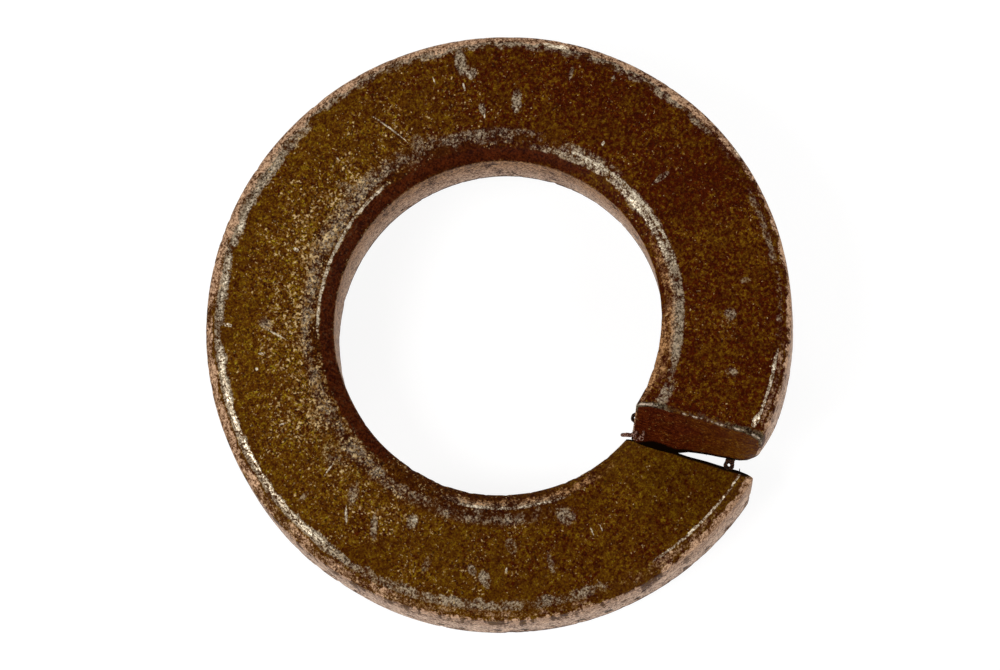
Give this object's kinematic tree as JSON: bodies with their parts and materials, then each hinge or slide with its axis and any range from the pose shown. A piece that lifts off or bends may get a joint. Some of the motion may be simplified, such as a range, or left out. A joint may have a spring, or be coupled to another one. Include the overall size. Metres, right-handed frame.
{
  "type": "spring lock washer",
  "caption": "Helical spring lock washer: a sprung turn of heavy steel wire, cut through on a slant, for under a bolt head or nut.",
  "frame": {"origin": "on the bore axis, at the height of the washer's lowest point", "axes": "+Z along the bore, towards the raised end; +X through the middle of the split"},
  "size_m": [0.0172, 0.0172, 0.0052],
  "materials": {
    "coated_spring_steel": "thin dark brown coat on spring steel, worn to grey along the edges"
  },
  "bodies": {
    "root": {"lock_washer": "coated_spring_steel"}
  },
  "joints": []
}
